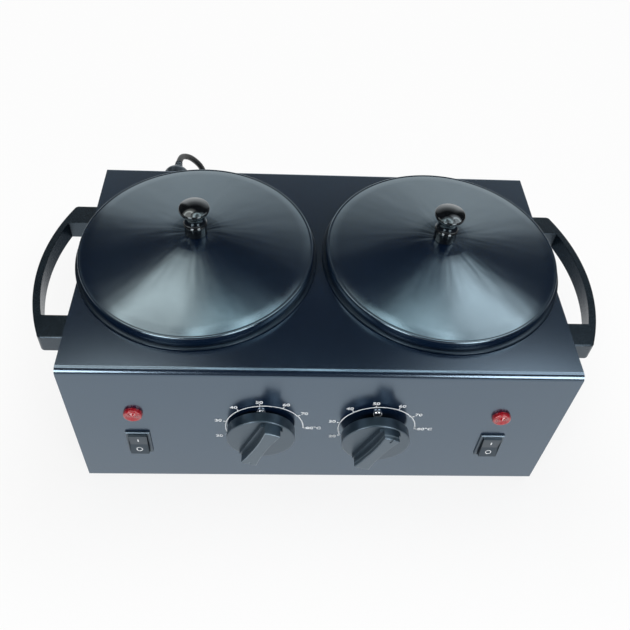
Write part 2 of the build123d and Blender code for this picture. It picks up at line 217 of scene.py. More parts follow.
def casePaint():
    # satin powder coat with a fine orange peel and a few dust specks
    look = Look("casePaint")
    place = look.place()
    peel = look.noise(place, 620, 2)
    cloud = look.noise(place, 14, 4)
    specks = look.noise(place, 1900, 1).over(0.76, 0.8)
    base = look.mix(cloud, shade(paint["colour"], 0.8), shade(paint["colour"], 1.25))
    look.varies("Base Color", look.mix(specks * 0.3, base, tone(0.05, 0.06, 0.07)))
    look.varies("Roughness", paint["caseRough"] - 0.04 + cloud * 0.06 + specks * 0.1)
    look.bump(peel + specks * 0.2, 0.00002, 0.6)
    look.constants(IOR=paint["ior"], Specular_Tint=paint["tint"])
    return look.owner


def lidPaint(name, middle):
    # smoother coat over spun metal: faint turning rings and slow ripples that run from crest to rim
    look = Look(name)
    place = look.shift(look.place(), middle)
    x, y = look.axes(place)[:2]
    radius = (x * x + y * y) ** 0.5
    around = look.add("ShaderNodeCombineXYZ", {}, {0: x / radius, 1: y / radius, 2: radius * 6})[0]
    ripple = look.noise(around, 2.2, 2)
    rings = (radius * 9000).sine()
    cloud = look.noise(place, 22, 4)
    peel = look.noise(place, 1700, 1)
    look.varies("Base Color", look.mix(cloud, shade(paint["colour"], 0.7), shade(paint["colour"], 1.2)))
    look.varies("Roughness", paint["lidRough"] - 0.03 + cloud * 0.05 + ripple * 0.03)
    look.bump(ripple + rings * 0.005 + peel * 0.022, 0.0011, 0.5)
    look.constants(IOR=paint["ior"], Specular_Tint=paint["lidTint"])
    return look.owner


def mouldedPlastic(name, colour, rough, grain, ior=1.5, tint=tone(1, 1, 1)):
    # spark-eroded mould texture, with handling shine in patches
    look = Look(name)
    place = look.place()
    grit = look.noise(place, grain, 2, 0.7)
    rub = look.noise(place, 60, 3)
    look.varies("Base Color", look.mix(rub, shade(colour, 0.8), shade(colour, 1.25)))
    look.varies("Roughness", rough - 0.05 + rub * 0.08 + grit * 0.06)
    look.bump(grit, 0.00003, 0.7)
    look.constants(IOR=ior, Specular_Tint=tint)
    return look.owner


def dialFinish():
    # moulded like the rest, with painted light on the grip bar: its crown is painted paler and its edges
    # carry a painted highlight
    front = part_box("left_dial_knob")[0].y
    look = Look("dialPlastic")
    place = look.place()
    grit = look.noise(place, 2600, 2, 0.7)
    rub = look.noise(place, 60, 3)
    y = look.axes(place)[1]
    # painted light: the part standing furthest out gets a lighter colour, and its rim a painted highlight
    # line
    paintedLitCrown = y.under(front + 0.0006, front + 0.0012)
    edge = paintedLitCrown * y.over(front + 0.00006, front + 0.0002)
    base = look.mix(rub, tone(0.003, 0.007, 0.011), tone(0.005, 0.011, 0.017))
    base = look.mix(paintedLitCrown, base, tone(0.024, 0.034, 0.042))
    look.varies("Base Color", look.mix(edge, base, tone(0.12, 0.15, 0.17)))
    look.varies("Roughness", 0.27 + rub * 0.07 + grit * 0.06)
    look.bump(grit, 0.00003, 0.7)
    look.constants(IOR=2.15, Specular_Tint=tone(0.63, 0.82, 1.0))
    return look.owner


def glossBlack():
    look = Look("glossBlack")
    place = look.place()
    sweep = look.noise(place, 90, 2)
    look.varies("Base Color", look.mix(sweep, tone(0.002, 0.0025, 0.003), tone(0.005, 0.006, 0.008)))
    look.varies("Roughness", 0.03 + sweep * 0.05)
    look.bump(look.noise(place, 260, 2), 0.00001, 0.4)
    look.constants(IOR=1.65, Specular_Tint=tone(0.8, 0.93, 1.0), Coat_Weight=0.4, Coat_Roughness=0.03)
    return look.owner


def lampRed():
    # clear red acrylic: a painted pale glow on the face where it looks at the view, painted shade darker
    # towards the rim
    look = Look("lampRed")
    place = look.place()
    cloud = look.noise(place, 500, 3)
    # painted light: the colour runs from pale where the lens faces the view to dark at its rim
    facing = look.add("ShaderNodeLayerWeight", {}, {"Blend": 0.35})["Facing"]
    glow = look.mix(facing, tone(0.4, 0.014, 0.024), tone(0.08, 0.001, 0.003))
    look.varies("Base Color", look.mix(cloud * 0.4, glow, tone(0.35, 0.01, 0.015)))
    look.varies("Roughness", 0.08 + cloud * 0.08)
    look.bump(cloud, 0.0001, 0.5)
    look.constants(IOR=1.5, Coat_Weight=0.6, Coat_Roughness=0.05)
    return look.owner


def metal(name, colour, rough, direction, scale):
    # drawn or turned metal: fine scratches along one direction
    look = Look(name)
    place = look.place()
    lines = look.noise(look.stretch(place, direction), scale, 4, 0.65)
    stain = look.noise(place, 35, 4)
    look.varies("Base Color", look.mix(stain, shade(colour, 0.85), colour))
    look.varies("Roughness", rough - 0.06 + lines * 0.14 + stain * 0.06)
    look.bump(lines, 0.00002, 0.5)
    look.constants(Metallic=1.0)
    return look.owner


def spunAluminium(name, middle):
    look = Look(name)
    place = look.shift(look.place(), middle)
    x, y, z = look.axes(place)
    radius = (x * x + y * y) ** 0.5
    profile = look.add("ShaderNodeCombineXYZ", {}, {0: radius, 1: z, 2: 0.0})[0]
    rings = look.noise(profile, 2600, 3, 0.7)
    stain = look.noise(place, 30, 4)
    look.varies("Base Color", look.mix(stain, tone(0.6, 0.61, 0.63), tone(0.8, 0.81, 0.82)))
    look.varies("Roughness", 0.24 + rings * 0.14 + stain * 0.08)
    look.bump(rings, 0.00003, 0.5)
    look.constants(Metallic=1.0)
    return look.owner


def potCoating(name, middle):
    # baked non-stick coat over a spun pot, with the turning rings still showing through
    look = Look(name)
    place = look.shift(look.place(), middle)
    x, y, z = look.axes(place)
    radius = (x * x + y * y) ** 0.5
    profile = look.add("ShaderNodeCombineXYZ", {}, {0: radius, 1: z, 2: 0.0})[0]
    rings = look.noise(profile, 2200, 3, 0.7)
    fleck = look.noise(place, 2600, 1).over(0.72, 0.78)
    cloud = look.noise(place, 30, 4)
    base = look.mix(cloud, tone(0.002, 0.005, 0.011), tone(0.005, 0.009, 0.016))
    look.varies("Base Color", look.mix(fleck * 0.5, base, tone(0.09, 0.1, 0.11)))
    look.varies("Roughness", 0.2 + rings * 0.1 + cloud * 0.06)
    look.bump(rings + fleck * 0.4, 0.00003, 0.6)
    look.constants(IOR=1.5, Specular_Tint=paint["tint"])
    return look.owner


def feltWool():
    look = Look("feltWool")
    place = look.place()
    fibres = look.noise(look.stretch(place, (1, 1, 0.35)), 900, 5, 0.75)
    tuft = look.noise(place, 70, 3)
    look.varies("Base Color", look.mix(fibres, tone(0.5, 0.47, 0.4), tone(0.86, 0.84, 0.78)))
    look.varies("Roughness", 0.85 + tuft * 0.12)
    look.bump(fibres + tuft, 0.0005, 0.8)
    look.constants(Sheen_Weight=0.3)
    return look.owner


def printWhite():
    # screen-printed ink, a little thin in places
    look = Look("printWhite")
    place = look.place()
    thin = look.noise(place, 1500, 3)
    look.varies("Base Color", look.mix(thin, tone(0.6, 0.64, 0.67), tone(0.88, 0.9, 0.92)))
    look.varies("Roughness", 0.4 + thin * 0.15)
    look.bump(thin, 0.00001, 0.3)
    return look.owner


def rubber(name, colour, rough):
    look = Look(name)
    place = look.place()
    skin = look.noise(place, 1400, 3, 0.6)
    dust = look.noise(place, 45, 4)
    look.varies("Base Color", look.mix(dust, shade(colour, 0.8), shade(colour, 1.5)))
    look.varies("Roughness", rough - 0.08 + dust * 0.12 + skin * 0.05)
    look.bump(skin, 0.00003, 0.6)
    return look.owner


def potMiddle(side):
    low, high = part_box(side + "_lid")
    return Vector(((low.x + high.x) / 2, (low.y + high.y) / 2, 0))


paintedCase = casePaint()
satinTint = tone(0.63, 0.82, 1.0)
blackPlastic = mouldedPlastic("blackPlastic", tone(0.003, 0.006, 0.01), 0.36, 2200, 2.1, satinTint)
rockerPlastic = mouldedPlastic("rockerPlastic", tone(0.003, 0.007, 0.012), 0.3, 2400, 1.75, satinTint)
dialPlastic = dialFinish()
handlePlastic = mouldedPlastic("handlePlastic", tone(0.002, 0.006, 0.01), 0.25, 2200, 1.75, satinTint)
lensRed = lampRed()
knobBlack = glossBlack()
chrome = metal("chrome", tone(0.72, 0.75, 0.79), 0.2, (1, 3, 1), 900)
platedSteel = metal("platedSteel", tone(0.58, 0.59, 0.6), 0.36, (1, 1, 8), 400)
brass = metal("brass", tone(0.72, 0.56, 0.28), 0.3, (6, 1, 1), 600)
felt = feltWool()
whitePlastic = mouldedPlastic("whitePlastic", tone(0.68, 0.68, 0.65), 0.45, 1800)
ink = printWhite()
footRubber = rubber("footRubber", tone(0.02, 0.02, 0.021), 0.75)
cordRubber = rubber("cordRubber", tone(0.004, 0.007, 0.01), 0.42)
print("finishes made")

# ---- mesh helpers ----


def finishNode(name, material):
    nodes[name].data.materials.clear()
    nodes[name].data.materials.append(material)


def dress(piece, material, body):
    piece.data.materials.clear()
    piece.data.materials.append(material)
    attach(piece, body)
    return piece


def fromMesh(name, mesh, crease=34):
    # smooth shading, sharp where faces meet at more than crease degrees
    bmesh.ops.recalc_face_normals(mesh, faces=mesh.faces)
    for face in mesh.faces:
        face.smooth = True
    for edge in mesh.edges:
        if len(edge.link_faces) == 2 and edge.calc_face_angle(0) > math.radians(crease):
            edge.smooth = False
    data = bpy.data.meshes.new(name)
    mesh.to_mesh(data)
    mesh.free()
    piece = bpy.data.objects.new(name, data)
    bpy.context.scene.collection.objects.link(piece)
    return piece


def arc(start, through, end, steps=6):
    # points of the circle through three (radius, height) points, start left out
    (ax, ay), (bx, by), (cx, cy) = start, through, end
    double = 2 * (ax * (by - cy) + bx * (cy - ay) + cx * (ay - by))
    ux = ((ax**2 + ay**2) * (by - cy) + (bx**2 + by**2) * (cy - ay) + (cx**2 + cy**2) * (ay - by)) / double
    uy = ((ax**2 + ay**2) * (cx - bx) + (bx**2 + by**2) * (ax - cx) + (cx**2 + cy**2) * (bx - ax)) / double
    radius = math.hypot(ax - ux, ay - uy)
    first = math.atan2(ay - uy, ax - ux)
    sweep = (math.atan2(cy - uy, cx - ux) - first + math.pi) % (2 * math.pi) - math.pi
    angles = [first + sweep * step / steps for step in range(1, steps + 1)]
    return [(ux + radius * math.cos(a), uy + radius * math.sin(a)) for a in angles]


def turnInto(mesh, outline, place=Matrix.Identity(4), segments=96, wobble=None):
    # revolves a closed (radius, height) outline about local Z; points on the axis become poles
    rows = []
    for radius, height in outline:
        if radius < 1e-7:
            rows.append([mesh.verts.new(place @ Vector((0, 0, height)))])
            continue
        row = []
        for step in range(segments):
            angle = 2 * math.pi * step / segments
            reach = radius + (wobble(angle, radius, height) if wobble else 0)
            spot = Vector((reach * math.cos(angle), reach * math.sin(angle), height))
            row.append(mesh.verts.new(place @ spot))
        rows.append(row)
    closed = len(rows[0]) > 1
    pairs = zip(rows, rows[1:] + rows[:1]) if closed else zip(rows, rows[1:])
    for first, second in pairs:
        for step in range(segments):
            following = (step + 1) % segments
            if len(first) == 1:
                mesh.faces.new((first[0], second[step], second[following]))
            elif len(second) == 1:
                mesh.faces.new((first[step], second[0], first[following]))
            else:
                mesh.faces.new((first[step], second[step], second[following], first[following]))


def turned(name, outline, place=Matrix.Identity(4), segments=96, wobble=None, crease=34):
    mesh = bmesh.new()
    turnInto(mesh, outline, place, segments, wobble)
    return fromMesh(name, mesh, crease)


def prismInto(mesh, outline, low, high, place=Matrix.Identity(4)):
    # upright prism from an (x, y) outline
    bottom = [mesh.verts.new(place @ Vector((x, y, low))) for x, y in outline]
    top = [mesh.verts.new(place @ Vector((x, y, high))) for x, y in outline]
    mesh.faces.new(list(reversed(bottom)))
    mesh.faces.new(top)
    for one in range(len(outline)):
        two = (one + 1) % len(outline)
        mesh.faces.new((bottom[one], bottom[two], top[two], top[one]))


def soften(piece, width, segments=3, angle=32):
    bevel = piece.modifiers.new("soften", "BEVEL")
    bevel.width = width
    bevel.segments = segments
    bevel.limit_method = "ANGLE"
    bevel.angle_limit = math.radians(angle)
    bevel.harden_normals = True
    return piece


def facing(x, y, z):
    # local Z points at the user, local Y up: for what stands on the front
    return Matrix.Translation((x, y, z)) @ Matrix.Rotation(math.radians(90), 4, "X")


# ---- case ----

caseLow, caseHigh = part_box("housing_wrap")
frontY = caseLow.y
for name in ("housing_wrap", "left_side_panel", "right_side_panel", "base_plate"):
    finishNode(name, paintedCase)
for name in ("base_screws", "foot_screws", "handle_screws"):
    finishNode(name, platedSteel)
for name, material in (("terminal_block", whitePlastic), ("gland_nut", blackPlastic), ("plug_pins", brass)):
    finishNode(name, material)
for side, sign in sides:
    for ending in ("_heater", "_thermal_fuse", "_thermostat_shaft", "_lid_knob_screw"):
        finishNode(side + ending, platedSteel)
    for ending in ("_thermostat", "_lamp_body", "_switch_body"):
        finishNode(side + ending, blackPlastic)
    finishNode(side + "_sensor_bulb", brass)
    finishNode(side + "_dial_knob", dialPlastic)
print("case dressed")

# ---- cord ----

cordSizes = dict(diameter=0.006, length=1.415, coilPlace=(-0.03, 0.176), coilRadius=0.034, coilTurns=5,
                 turnDrop=0.006, pointsPerTurn=16)


def cordRoute():
    # out of the gland and down, round the coil from its top turn, then along the table to the plug
    out = [(-0.1365, 0.15725, 0.154), (-0.1365, 0.1682, 0.1518), (-0.134, 0.1778, 0.1467),
           (-0.1275, 0.187, 0.137), (-0.1175, 0.1915, 0.12), (-0.115, 0.1925, 0.097), (-0.112, 0.196, 0.072),
           (-0.099, 0.2015, 0.05), (-0.076, 0.206, 0.0375), (-0.051, 0.2094, 0.0334)]
    coilX, coilY = cordSizes["coilPlace"]
    radius = cordSizes["coilRadius"]
    drop = cordSizes["turnDrop"]
    steps = cordSizes["pointsPerTurn"]
    start = cordSizes["diameter"] / 2 + drop * cordSizes["coilTurns"]
    coil = []
    for step in range(steps * cordSizes["coilTurns"] + 1):
        angle = math.pi / 2 - 2 * math.pi * step / steps
        height = start - drop * step / steps
        coil.append((coilX + radius * math.cos(angle), coilY + radius * math.sin(angle), height))
    tail = [(-0.008, 0.211, 0.003), (0.016, 0.216, 0.003), (0.04, 0.2185, 0.004), (0.064, 0.215, 0.0095),
            (0.087, 0.21, 0.017), (0.11, 0.2045, 0.0186)]
    return out + coil + tail


def makeCord():
    route = cordRoute()
    data = bpy.data.curves.new("mains_flex", "CURVE")
    data.dimensions = "3D"
    data.bevel_depth = cordSizes["diameter"] / 2
    data.bevel_resolution = 6
    data.resolution_u = 6
    spline = data.splines.new("NURBS")
    spline.points.add(len(route) - 1)
    for point, place in zip(spline.points, route):
        point.co = (*place, 1)
    spline.order_u = 3
    spline.use_endpoint_u = True
    flex = bpy.data.objects.new("mains_flex", data)
    bpy.context.scene.collection.objects.link(flex)
    data.materials.append(cordRubber)
    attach(flex, "root")
    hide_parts("mains_cord", "cord_coil", "cord_tail")
    return flex


glandSizes = dict(root=-0.0095, shank=0.0079, flange=0.0124, shoulder=0.009, dome=0.0172, nose=0.0046,
                  sleeveEnd=0.0035, reach=0.03, ribs=4, flutes=16)


def makeGland():
    low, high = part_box("cord_gland")
    back = caseHigh.y
    place = Matrix.Translation(((low.x + high.x) / 2, back, (low.z + high.z) / 2))
    place = place @ Matrix.Rotation(math.radians(-90), 4, "X")
    flange = glandSizes["flange"]
    shank = glandSizes["shank"]
    dome = glandSizes["dome"]
    outline = [(0, glandSizes["root"]), (shank, glandSizes["root"]), (shank, 0.0), (flange - 0.0005, 0.0),
               (flange, 0.0005), (flange, 0.003), (flange - 0.0008, 0.0034), (flange, 0.0038),
               (flange, glandSizes["shoulder"])]
    outline += arc((flange, glandSizes["shoulder"]), (0.0106, 0.0146), (glandSizes["nose"], dome), 10)
    # tapered sleeve with soft grooves
    length = glandSizes["reach"] - dome
    for rib in range(glandSizes["ribs"]):
        share = (rib + 0.3) / glandSizes["ribs"]
        radius = glandSizes["nose"] + (glandSizes["sleeveEnd"] - glandSizes["nose"]) * share
        height = dome + length * share
        outline += [(radius, height), (radius - 0.0005, height + 0.0007), (radius - 0.0005, height + 0.0013),
                    (radius - 0.0001, height + 0.002)]
    outline += [(glandSizes["sleeveEnd"], glandSizes["reach"] - 0.0003), (0.0032, glandSizes["reach"]),
                (0, glandSizes["reach"])]

    def flutes(angle, radius, height):
        gripped = 0.0004 < height < 0.0049 and radius > 0.01
        return -0.0005 * max(0, math.cos(angle * glandSizes["flutes"])) if gripped else 0

    gland = turned("gland_fitting", outline, place, 192, flutes)
    dress(gland, blackPlastic, "root")
    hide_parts("cord_gland")
    return gland


plugSizes = dict(heading=(0.97, -0.24, 0), ribs=6, ribPitch=0.0029, ribGrowth=0.00018, face=0.0184,
                 waist=(0.023, 0.034), flutes=12)


def makePlug():
    # round two-pin plug with a gripping waist, lying along the cord's end
    axis = Vector(plugSizes["heading"]).normalized()
    turn = axis.to_track_quat("Z", "Y").to_matrix().to_4x4()
    place = Matrix.Translation(cordRoute()[-1]) @ turn
    outline = [(0, 0), (0.0042, 0), (0.0045, 0.0006)]
    for rib in range(plugSizes["ribs"]):
        height = 0.0022 + rib * plugSizes["ribPitch"]
        radius = 0.0046 + rib * plugSizes["ribGrowth"]
        outline += [(radius, height), (radius - 0.0006, height + 0.0007), (radius - 0.0006, height + 0.0013),
                    (radius, height + 0.002)]
    outline += [(0.0057, 0.0202)]
    outline += arc((0.0057, 0.0202), (0.0086, 0.0209), (0.0108, 0.0226), 5)
    outline += arc((0.0108, 0.0226), (0.0112, 0.029), (0.0125, 0.034), 6)
    outline += arc((0.0125, 0.034), (0.0155, 0.0372), (0.018, 0.0396), 5)
    face = plugSizes["face"]
    outline += [(face, 0.0402), (face, 0.0514), (face - 0.0006, 0.0519), (0, 0.0519)]
    waistLow, waistHigh = plugSizes["waist"]

    def grip(angle, radius, height):
        if not waistLow < height < waistHigh:
            return 0
        swell = math.sin((height - waistLow) / (waistHigh - waistLow) * math.pi)
        return -0.0006 * max(0, math.cos(angle * plugSizes["flutes"])) * swell

    plug = turned("round_plug", outline, place, 144, grip)
    dress(plug, blackPlastic, "root")
    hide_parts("plug")
    return plug


flex = makeCord()
gland = makeGland()
plug = makePlug()
print("cord laid")

# ---- lids ----

lidSizes = dict(crestRadius=0.0185, skirt=0.0086, sheet=0.0009, segments=288)


def makeLid(side):
    low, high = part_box(side + "_lid")
    rim = (high.x - low.x) / 2
    floorZ, crestZ = low.z, high.z
    shoulder = floorZ + lidSizes["skirt"]
    crest = lidSizes["crestRadius"]
    slope = (crestZ - shoulder) / (rim - crest)
    sheet = lidSizes["sheet"]

    def cone(radius):
        return crestZ - (radius - crest) * slope

    outline = [(0, crestZ - 0.0001), (0.0095, crestZ - 0.0001), (crest - 0.003, crestZ - 0.0001)]
    outer = (crest + 0.003, cone(crest + 0.003))
    outline += arc((crest - 0.003, crestZ - 0.0001), (crest, crestZ - 0.0003), outer, 6)
    outline += [(radius, cone(radius)) for radius in (0.03, 0.045, 0.06, 0.075, 0.088)]
    # a faint groove, then the rounded shoulder
    outline += [(rim - 0.0034, cone(rim - 0.0034)), (rim - 0.0029, cone(rim - 0.0029) - 0.00012),
                (rim - 0.0025, cone(rim - 0.0025) - 0.0001), (rim - 0.002, cone(rim - 0.002) + 0.0001)]
    outline += arc(outline[-1], (rim - 0.0007, shoulder + 0.0003), (rim - 0.0001, shoulder - 0.001), 7)
    outline += [(rim, shoulder - 0.0016), (rim, floorZ + 0.0003), (rim - 0.0003, floorZ)]
    inner = rim - sheet
    outline += [(inner - 0.0002, floorZ), (inner - 0.0003, shoulder - 0.0012),
                (inner - 0.0015, shoulder - 0.0004)]
    outline += [(radius, cone(radius) - sheet) for radius in (0.088, 0.06, 0.03)]
    outline += [(crest, crestZ - sheet), (0, crestZ - sheet)]
    place = Matrix.Translation(potMiddle(side))
    lid = turned(side + "_spun_lid", outline, place, lidSizes["segments"], crease=28)
    dress(lid, lidPaint(side + "LidPaint", tuple(potMiddle(side))), side + "_lid")
    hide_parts(side + "_lid")


knobSizes = dict(stem=0.0092, waist=0.0081, neck=0.0099, head=0.0125, cap=0.0114, capRise=0.0028, tall=0.031)


def makeLidKnob(side):
    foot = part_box(side + "_lid_knob")[0].z
    stem, neck, head = knobSizes["stem"], knobSizes["neck"], knobSizes["head"]
    outline = [(0, foot), (stem - 0.0004, foot), (stem, foot + 0.0004), (stem, foot + 0.0096)]
    outline += arc((stem, foot + 0.0096), (0.0098, foot + 0.0106), (stem, foot + 0.0114), 6)
    outline += arc((stem, foot + 0.0114), (knobSizes["waist"], foot + 0.0168), (neck, foot + 0.0224), 14)
    outline += arc((neck, foot + 0.0224), (0.0116, foot + 0.024), (head, foot + 0.0263), 8)
    # low dome over the head, through a point half way in
    cap, rise = knobSizes["cap"], knobSizes["capRise"]
    top = foot + knobSizes["tall"]
    outline += arc((head, foot + 0.0263), (0.0124, foot + 0.0274), (cap, foot + 0.0282), 6)
    dome = (cap**2 + rise**2) / (2 * rise)
    halfWay = (cap / 2, top - dome + math.sqrt(dome**2 - (cap / 2) ** 2))
    outline += arc((cap, foot + 0.0282), halfWay, (0, top), 16)
    outline[-1] = (0, top)
    knob = turned(side + "_mushroom_knob", outline, Matrix.Translation(potMiddle(side)), 96)
    dress(knob, knobBlack, side + "_lid")
    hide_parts(side + "_lid_knob")


# ---- pots and wells ----

potSizes = dict(wallTop=0.0872, wallFoot=0.08, bead=0.0963, beadTall=0.0024, rim=0.0017, sheet=0.0012)


def makePot(side):
    low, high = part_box(side + "_pot")
    seat = high.z - potSizes["rim"] - potSizes["beadTall"]
    top = seat + potSizes["rim"]
    flange = (high.x - low.x) / 2
    wall = potSizes["wallTop"]
    foot = potSizes["wallFoot"]
    outline = [(0, low.z), (foot - 0.004, low.z)]
    outline += arc((foot - 0.004, low.z), (foot - 0.0012, low.z + 0.0012), (foot, low.z + 0.004), 6)
    outline += [(wall, seat - 0.001), (wall + 0.001, seat), (flange - 0.0008, seat)]
    outline += arc((flange - 0.0008, seat), (flange, seat + 0.0008), (flange - 0.0008, top), 6)
    bead = potSizes["bead"]
    outline += [(bead + 0.0008, top), (bead + 0.0007, top + 0.0016)]
    outline += arc((bead + 0.0007, top + 0.0016), (bead, high.z), (bead - 0.0007, top + 0.0016), 8)
    outline += [(bead - 0.0007, top), (wall + 0.0006, top), (wall - 0.0012, seat - 0.0006)]
    inner = foot - potSizes["sheet"]
    floorZ = low.z + potSizes["sheet"]
    outline += [(inner, low.z + 0.005)]
    outline += arc((inner, low.z + 0.005), (inner - 0.0013, low.z + 0.0024), (inner - 0.004, floorZ), 6)
    # a faint ring pressed up in the floor
    outline += [(0.05, floorZ), (0.048, floorZ + 0.0004), (0.046, floorZ), (0, floorZ)]
    pot = turned(side + "_spun_pot", outline, Matrix.Translation(potMiddle(side)), 224)
    dress(pot, potCoating(side + "PotCoat", tuple(potMiddle(side))), side + "_pot")
    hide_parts(side + "_pot")
    finishNode(side + "_well", spunAluminium(side + "WellSpun", tuple(potMiddle(side))))


feltSizes = dict(shy=0.0003, thick=0.0017, rows=14, fuzz=0.0003, waves=7)


def makeFelt(side):
    low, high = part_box(side + "_insulation")
    outer = (high.x - low.x) / 2 - feltSizes["shy"]
    inner = outer - feltSizes["thick"]
    rows = feltSizes["rows"]
    outline = [(outer, low.z + (high.z - low.z) * row / rows) for row in range(rows + 1)]
    outline += [(inner, low.z + (high.z - low.z) * row / rows) for row in range(rows, -1, -1)]
    chance = random.Random(11)
    waves = [(chance.uniform(0, 6.28), chance.randint(3, 19), chance.uniform(40, 160))
             for wave in range(feltSizes["waves"])]

    def fuzz(angle, radius, height):
        rise = sum(math.sin(angle * turns + height * pitch + start) for start, turns, pitch in waves)
        return max(-feltSizes["fuzz"], min(feltSizes["fuzz"], 0.0001 * rise))

    sleeve = turned(side + "_felt_sleeve", outline, Matrix.Translation(potMiddle(side)), 200, fuzz)
    dress(sleeve, felt, "root")
    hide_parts(side + "_insulation")


for side, sign in sides:
    makeLid(side)
    makeLidKnob(side)
    makePot(side)
    makeFelt(side)
print("pots and lids spun")

# ---- handles ----

handleSizes = dict(half=0.0768, end=0.0267, reach=0.04428, corner=0.002, strap=0.0065, finger=0.0539,
                   edge=0.0013, innerEdge=0.3, steps=40, gapSteps=32)


def bowArc(fromX, toX, half, steps):
    # centre and radius of the bow's outer arc, and its points from -half to half, in (x, y)
    rise = toX - fromX
    radius = (half**2 + rise**2) / (2 * rise)
    middle = toX - radius
    span = math.asin(half / radius)
    return middle, radius, [(middle + radius * math.cos(a), radius * math.sin(a))
                            for a in [-span + 2 * span * step / steps for step in range(steps + 1)]]


def makeHandle(side, sign):
    low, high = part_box(side + "_handle")
    wall = min(abs(low.x), abs(high.x))
    middleY = (low.y + high.y) / 2
    middle, radius, bow = bowArc(handleSizes["end"], handleSizes["reach"], handleSizes["half"],
                                 handleSizes["steps"])
    gapRadius = radius - handleSizes["strap"]
    finger = handleSizes["finger"]
    span = math.asin(finger / gapRadius)
    steps = handleSizes["gapSteps"]
    gap = [(middle + gapRadius * math.cos(a), gapRadius * math.sin(a))
           for a in [span - 2 * span * step / steps for step in range(steps + 1)]]
    # outer bow with its corners rounded, then back through the finger gap
    corner = handleSizes["corner"]
    outer = [(x, y) for x, y in bow if abs(y) < handleSizes["half"] - corner * 0.9]
    half = handleSizes["half"]
    firstX, firstY = outer[0]
    foot = handleSizes["end"] - corner
    lowerCorner = arc((foot, -half), (foot + corner * 0.8, -half + corner * 0.3), (firstX, firstY), 6)
    upperCorner = [(x, -y) for x, y in reversed([(foot, -half)] + lowerCorner)]
    outline = [(0, -half), (foot, -half)] + lowerCorner[:-1] + outer + upperCorner[1:] + [(0, half)]
    outline += [(0, finger)] + gap + [(0, -finger)]
    place = Matrix.Translation((sign * wall, middleY, 0)) @ Matrix.Diagonal((sign, 1, 1, 1))
    mesh = bmesh.new()
    prismInto(mesh, outline, low.z, high.z, place)
    # the outer edges are rounder than those of the finger gap, the wall's edges stay square
    weights = mesh.edges.layers.float.new("bevel_weight_edge")
    for edge in mesh.edges:
        one, two = (place.inverted() @ vert.co for vert in edge.verts)
        level = abs(one.z - two.z) < 1e-6
        inGap = abs(one.y) < finger + 1e-4 and abs(two.y) < finger + 1e-4
        onBow = min(math.hypot(p.x - middle, p.y) for p in (one, two)) > radius - 0.001
        if level and not (one.x < 1e-6 and two.x < 1e-6):
            edge[weights] = handleSizes["innerEdge"] if inGap and not onBow else 1.0
    handle = fromMesh(side + "_bow_handle", mesh, 30)
    soften(handle, handleSizes["edge"], 4, 50)
    handle.modifiers["soften"].limit_method = "WEIGHT"
    dress(handle, handlePlastic, "root")
    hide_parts(side + "_handle")


for side, sign in sides:
    makeHandle(side, sign)
print("handles fitted")

# ---- dial scales ----

# aside: how far the print's middle stands from the shaft; shy: how far the lowest mark stands off its tick
scaleSizes = dict(radius=0.0317, width=0.00085, tick=0.0026, proud=0.00012, digits=0.0052, digitStretch=1.15,
                  aside=dict(left=0.0027, right=0.0018), shy=dict(left=0.0018, right=0.0), steps=96,
                  marks=((20, 202), (30, 166), (40, 130), (50, 96.5), (60, 63), (70, 33), (80, -2)))


def stripInto(mesh, points, width, place):
    # flat raised strip along a line of (x, y) points
    left, right = [], []
    for index, point in enumerate(points):
        before = points[max(0, index - 1)]
        after = points[min(len(points) - 1, index + 1)]
        run = Vector((after[0] - before[0], after[1] - before[1])).normalized()
        across = Vector((-run.y, run.x)) * width / 2
        left.append((point[0] + across.x, point[1] + across.y))
        right.append((point[0] - across.x, point[1] - across.y))
    for one in range(len(points) - 1):
        two = one + 1
        prismInto(mesh, [left[one], left[two], right[two], right[one]], 0, scaleSizes["proud"], place)


def writing(name, text, size, place, stretchX):
    data = bpy.data.curves.new(name, "FONT")
    data.body = text
    data.size = size
    data.align_x = "CENTER"
    data.align_y = "CENTER"
    data.extrude = scaleSizes["proud"] / 2
    data.offset = size * 0.02
    data.resolution_u = 4
    written = bpy.data.objects.new(name, data)
    written.matrix_world = place @ Matrix.Diagonal((stretchX, 1, 1, 1))
    bpy.context.scene.collection.objects.link(written)
    data.materials.append(ink)
    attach(written, "root")
    return written


def makeScale(side):
    low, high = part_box(side + "_dial_knob")
    middleX = (low.x + high.x) / 2 + scaleSizes["aside"][side]
    middleZ = (low.z + high.z) / 2
    place = facing(middleX, frontY - 0.00002, middleZ)
    radius = scaleSizes["radius"]
    first = math.radians(scaleSizes["marks"][0][1])
    last = math.radians(scaleSizes["marks"][-1][1])
    steps = scaleSizes["steps"]
    line = [(radius * math.cos(a), radius * math.sin(a))
            for a in [last + (first - last) * step / steps for step in range(steps + 1)]]
    mesh = bmesh.new()
    stripInto(mesh, line, scaleSizes["width"], place)
    outer = radius + scaleSizes["tick"]
    for number, degrees in scaleSizes["marks"]:
        a = math.radians(degrees)
        tick = [(reach * math.cos(a), reach * math.sin(a)) for reach in (radius, outer)]
        stripInto(mesh, tick, scaleSizes["width"], place)
    scale = fromMesh(side + "_scale_line", mesh)
    dress(scale, ink, "root")
    for number, degrees in scaleSizes["marks"]:
        a = math.radians(degrees)
        hottest = number == scaleSizes["marks"][-1][0]
        coldest = number == scaleSizes["marks"][0][0]
        text = str(number) + ("°C" if hottest else "")
        # wide texts beside the scale stand further out than those above it
        reach = outer + 0.0026 + abs(math.cos(a)) * (0.0036 if hottest else 0.0016)
        reach += scaleSizes["shy"][side] if coldest else 0
        spot = place @ Matrix.Translation((reach * math.cos(a), reach * math.sin(a), scaleSizes["proud"] / 2))
        writing(f"{side}_scale_{number}", text, scaleSizes["digits"], spot, scaleSizes["digitStretch"])


# ---- dials, lamps and switches ----

